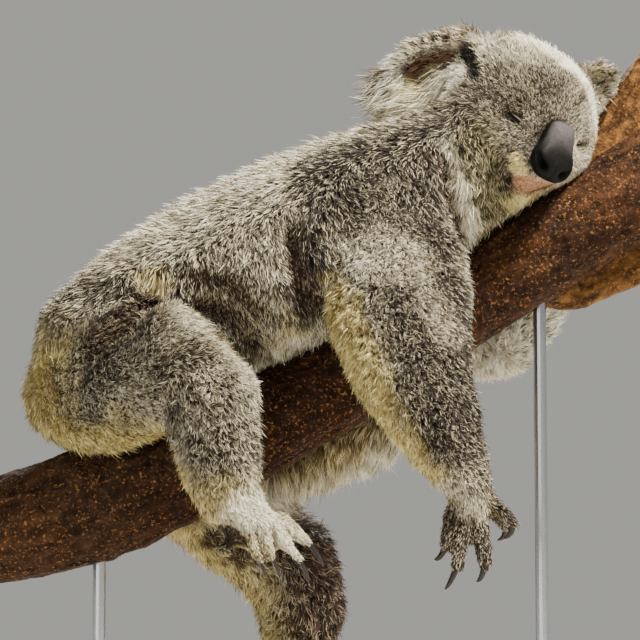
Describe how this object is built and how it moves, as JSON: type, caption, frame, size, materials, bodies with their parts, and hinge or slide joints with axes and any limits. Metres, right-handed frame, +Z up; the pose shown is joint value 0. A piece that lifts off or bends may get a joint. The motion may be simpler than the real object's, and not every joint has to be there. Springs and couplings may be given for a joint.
{
  "type": "sleeping koala model",
  "caption": "Life-size koala asleep face down along a sloping cut branch, limbs hanging on both sides of it, on a plain wooden base with short steel rods.",
  "frame": {"origin": "middle of the underside of the display base", "axes": "+Z up, +X towards the koala's head and up the slope of the branch, -Y the side on which its right limbs hang"},
  "size_m": [0.616, 0.32, 0.7194],
  "materials": {
    "coat": "dense soft fur, salt-and-pepper grey-brown",
    "pale_coat": "long soft cream fur",
    "nose": "finely pebbled bare skin, slightly moist",
    "eyelid": "bare dark skin of a closed lid",
    "claw": "smooth dark horn",
    "bark": "rough flaking reddish-brown bark",
    "base_wood": "satin lacquered board",
    "rod_steel": "brushed"
  },
  "bodies": {
    "root": {"trunk": "coat", "neck": "coat", "head": "coat", "nose": "nose", "ear_right": "pale_coat", "ear_left": "pale_coat", "eye_right": "eyelid", "eye_left": "eyelid", "right_upper_arm": "coat", "right_forearm": "coat", "right_hand": "coat", "right_thigh": "coat", "right_shank": "coat", "right_foot": "coat", "left_upper_arm": "coat", "left_forearm": "coat", "left_hand": "coat", "left_thigh": "coat", "left_shank": "coat", "left_foot": "coat", "right_hand_claw_1": "claw", "right_hand_claw_2": "claw", "right_hand_claw_3": "claw", "right_hand_claw_4": "claw", "right_hand_claw_5": "claw", "left_hand_claw_1": "claw", "left_hand_claw_2": "claw", "left_hand_claw_3": "claw", "left_hand_claw_4": "claw", "left_hand_claw_5": "claw", "right_foot_claw_1": "claw", "right_foot_claw_2": "claw", "right_foot_claw_3": "claw", "right_foot_claw_4": "claw", "left_foot_claw_1": "claw", "left_foot_claw_2": "claw", "left_foot_claw_3": "claw", "left_foot_claw_4": "claw", "perch_branch": "bark", "stand_base": "base_wood", "stand_rod_low": "rod_steel", "stand_rod_high": "rod_steel"}
  },
  "joints": []
}
